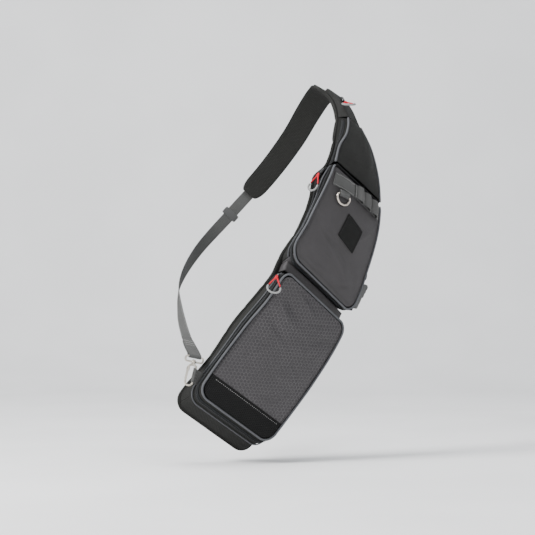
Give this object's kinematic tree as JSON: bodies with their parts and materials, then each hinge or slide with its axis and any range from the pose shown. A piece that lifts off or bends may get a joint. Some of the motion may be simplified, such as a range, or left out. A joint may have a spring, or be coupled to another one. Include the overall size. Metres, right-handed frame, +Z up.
{
  "type": "fishing tackle sling bag",
  "caption": "Padded sling bag for fishing tackle, worn over one shoulder and across the back, with zipped pockets, webbing loops, a metal ring and a hooked strap.",
  "frame": {"origin": "under the strap, on top of the wearer's right shoulder, where the worn bag hangs", "axes": "+Z up, +X to the wearer's right, +Y ahead of the wearer, so the bag's front faces -Y"},
  "size_m": [0.4255, 0.428, 0.7586],
  "materials": {
    "mesh_cloth": "black padded spacer mesh",
    "shoulder_cloth": "dark fine textured cloth",
    "pocket_cloth": "grey coated cloth",
    "band_cloth": "black textured cloth",
    "piping": "light grey cord piping",
    "zip": "coil zip",
    "webbing": "grey woven webbing",
    "black_webbing": "black woven webbing",
    "badge": "flat black patch",
    "plastic": "moulded grey",
    "slider": "black lacquered",
    "cord": "red round cord",
    "grip": "grey moulded grip",
    "metal": "satin",
    "nickel": "satin nickel"
  },
  "bodies": {
    "bag": {"back_panel": "mesh_cloth", "shoulder_front_panel": "shoulder_cloth", "upper_front_panel": "pocket_cloth", "lower_front_panel": "pocket_cloth", "lower_band": "band_cloth", "lower_side_left": "mesh_cloth", "lower_foot": "mesh_cloth", "lower_side_right": "mesh_cloth", "lower_top_wall": "mesh_cloth", "upper_side_left": "mesh_cloth", "upper_foot": "pocket_cloth", "upper_side_right": "mesh_cloth", "shoulder_side_left": "mesh_cloth", "shoulder_side_right": "mesh_cloth", "lower_piping": "piping", "upper_piping": "piping", "shoulder_piping_left": "piping", "shoulder_piping_right": "piping", "top_hood": "shoulder_cloth", "lower_zip": "zip", "lower_rib": "piping", "upper_zip": "zip", "upper_rib": "piping", "shoulder_zip": "zip", "main_zip": "zip", "valley_band": "pocket_cloth", "seam_cord": "black_webbing", "loop_strip": "webbing", "webbing_loops": "webbing", "badge": "badge", "ring_tab": "webbing", "slider_lower": "slider", "pull_cord_lower": "cord", "grip_ring_lower": "grip", "slider_main": "slider", "pull_cord_main": "cord", "grip_ring_main": "grip", "slider_shoulder": "slider", "pull_cord_shoulder": "cord", "grip_ring_shoulder": "grip", "side_strap": "black_webbing", "side_buckle": "plastic", "side_tab": "black_webbing", "hook_tab": "webbing", "snap_hook": "nickel", "strap_ring": "nickel", "strap_pad": "mesh_cloth", "strap_webbing": "webbing", "strap_adjuster": "plastic"},
    "d_ring_body": {"d_ring": "metal"},
    "hook_gate_body": {"hook_gate": "nickel"}
  },
  "joints": [
    {"name": "d_ring_tip", "type": "hinge", "parent": "bag", "child": "d_ring_body", "pos_m": [0.03505, -0.18456, -0.22174], "axis": [-0.6991, -0.6454, 0.3078], "range_deg": [0, 150]},
    {"name": "hook_gate_open", "type": "hinge", "parent": "bag", "child": "hook_gate_body", "pos_m": [-0.2757, -0.25168, -0.5668], "axis": [0.3196, -0.9381, -0.1335], "range_deg": [0, 20], "stiffness_Nm_per_rad": 0.05}
  ]
}
